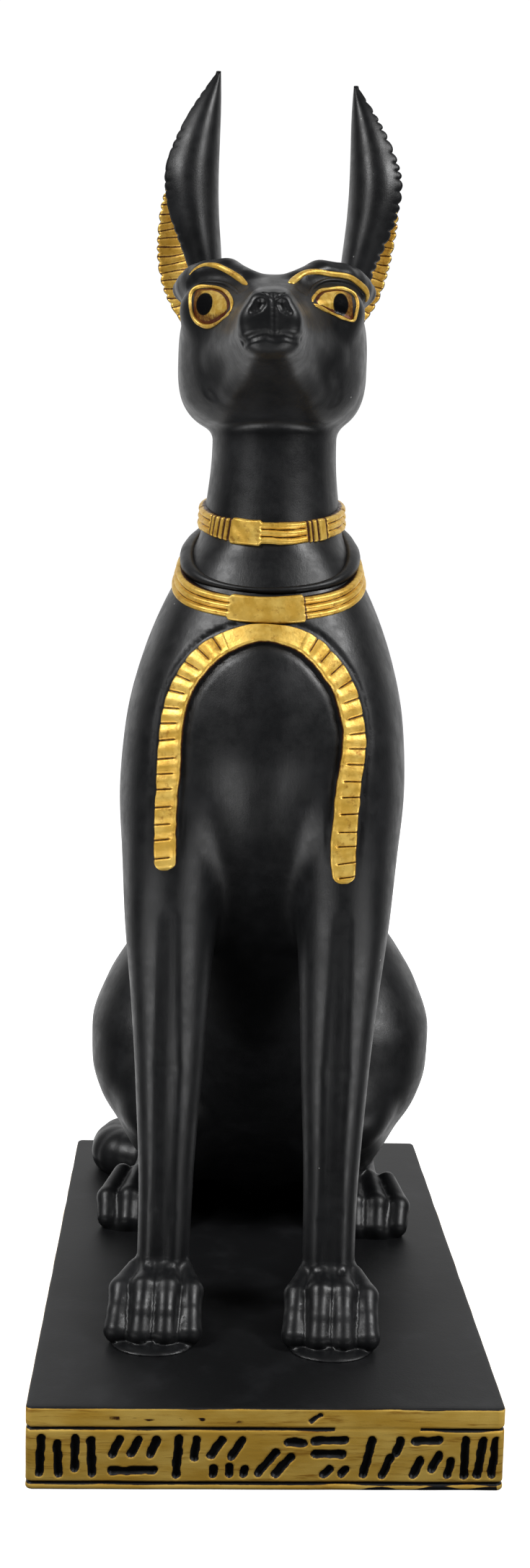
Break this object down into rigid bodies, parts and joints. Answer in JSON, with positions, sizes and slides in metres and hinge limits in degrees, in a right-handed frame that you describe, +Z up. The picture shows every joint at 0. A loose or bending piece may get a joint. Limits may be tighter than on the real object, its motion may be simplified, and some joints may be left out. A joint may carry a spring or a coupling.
{
  "type": "anubis figurine",
  "caption": "Seated jackal figurine with tall upright ears, collars and a shoulder ribbon, fixed on a low rectangular base block with an engraved front, for display on a shelf or desk.",
  "frame": {"origin": "centre of the base block's underside, which the part stands on", "axes": "+Z up through the jackal, -Y the way the jackal faces and the engraved front of the block, +X towards the jackal's left side"},
  "size_m": [0.0636, 0.108, 0.1936],
  "materials": {
    "black_resin": "satin black cast resin with a fine grain",
    "gold_paint": "hand-brushed gold paint on the resin's trim and on the base block's sides, worn dark in the grooves"
  },
  "bodies": {
    "root": {"figure": "black_resin", "base": "gold_paint"}
  },
  "joints": []
}
